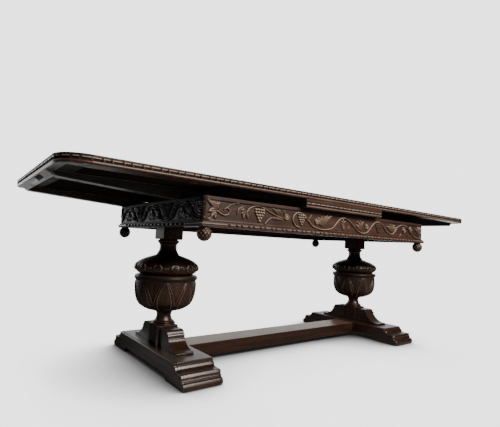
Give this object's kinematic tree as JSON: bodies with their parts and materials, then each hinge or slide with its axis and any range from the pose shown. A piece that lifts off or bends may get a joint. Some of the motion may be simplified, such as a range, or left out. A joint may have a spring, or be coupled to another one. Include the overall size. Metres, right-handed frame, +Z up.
{
  "type": "draw-leaf refectory table",
  "caption": "Carved oak refectory table on cup-and-cover pedestals joined by a stretcher, its draw leaves pulled out at both ends of a lift-off top.",
  "frame": {"origin": "on the floor under the centre of the table, midway between the feet", "axes": "+X along the table from the left leaf to the right leaf, +Y from the front frieze to the back, +Z up"},
  "size_m": [2.46, 0.92, 0.76],
  "materials": {
    "oak_top": "dark stained and waxed, satin",
    "oak_carved": "dark stained carving, worn pale on the high points",
    "oak_turned": "dark stained, waxed to a soft gloss",
    "oak_base": "dark stained, rubbed by feet",
    "oak_inner": "plain, unpolished",
    "screw_steel": "dull"
  },
  "bodies": {
    "frame": {"left_foot": "oak_base", "right_foot": "oak_base", "left_plinth_block": "oak_base", "right_plinth_block": "oak_base", "stretcher": "oak_base", "left_front_console": "oak_base", "left_back_console": "oak_base", "right_front_console": "oak_base", "right_back_console": "oak_base", "left_cup": "oak_turned", "right_cup": "oak_turned", "left_cover": "oak_turned", "right_cover": "oak_turned", "left_cap_block": "oak_turned", "right_cap_block": "oak_turned", "front_rail": "oak_carved", "back_rail": "oak_carved", "left_end_rail": "oak_carved", "right_end_rail": "oak_carved", "front_moulding": "oak_carved", "back_moulding": "oak_carved", "left_moulding": "oak_carved", "right_moulding": "oak_carved", "front_left_corner_post": "oak_carved", "front_right_corner_post": "oak_carved", "back_left_corner_post": "oak_carved", "back_right_corner_post": "oak_carved", "front_left_drop": "oak_carved", "front_right_drop": "oak_carved", "back_left_drop": "oak_carved", "back_right_drop": "oak_carved", "left_saddle": "oak_inner", "right_saddle": "oak_inner", "stretcher_pegs": "oak_inner", "centre_board": "oak_top", "centre_board_screws": "screw_steel"},
    "main_top": {"main_top": "oak_top", "top_pegs": "oak_inner"},
    "left_leaf": {"left_leaf_panel": "oak_top", "left_leaf_clamp": "oak_top", "left_front_bearer": "oak_inner", "left_back_bearer": "oak_inner", "left_leaf_screws": "screw_steel", "left_leaf_stops": "oak_inner"},
    "right_leaf": {"right_leaf_panel": "oak_top", "right_leaf_clamp": "oak_top", "right_front_bearer": "oak_inner", "right_back_bearer": "oak_inner", "right_leaf_screws": "screw_steel", "right_leaf_stops": "oak_inner"}
  },
  "joints": [
    {"name": "top_lift", "type": "slide", "parent": "frame", "child": "main_top", "axis": [0, 0, 1], "range_m": [0, 0.032]},
    {"name": "left_leaf_draw", "type": "slide", "parent": "frame", "child": "left_leaf", "axis": [-0.9978, 0, 0.0664], "range_m": [0, 0.01]},
    {"name": "right_leaf_draw", "type": "slide", "parent": "frame", "child": "right_leaf", "axis": [0.9978, 0, 0.0664], "range_m": [0, 0.01]}
  ]
}
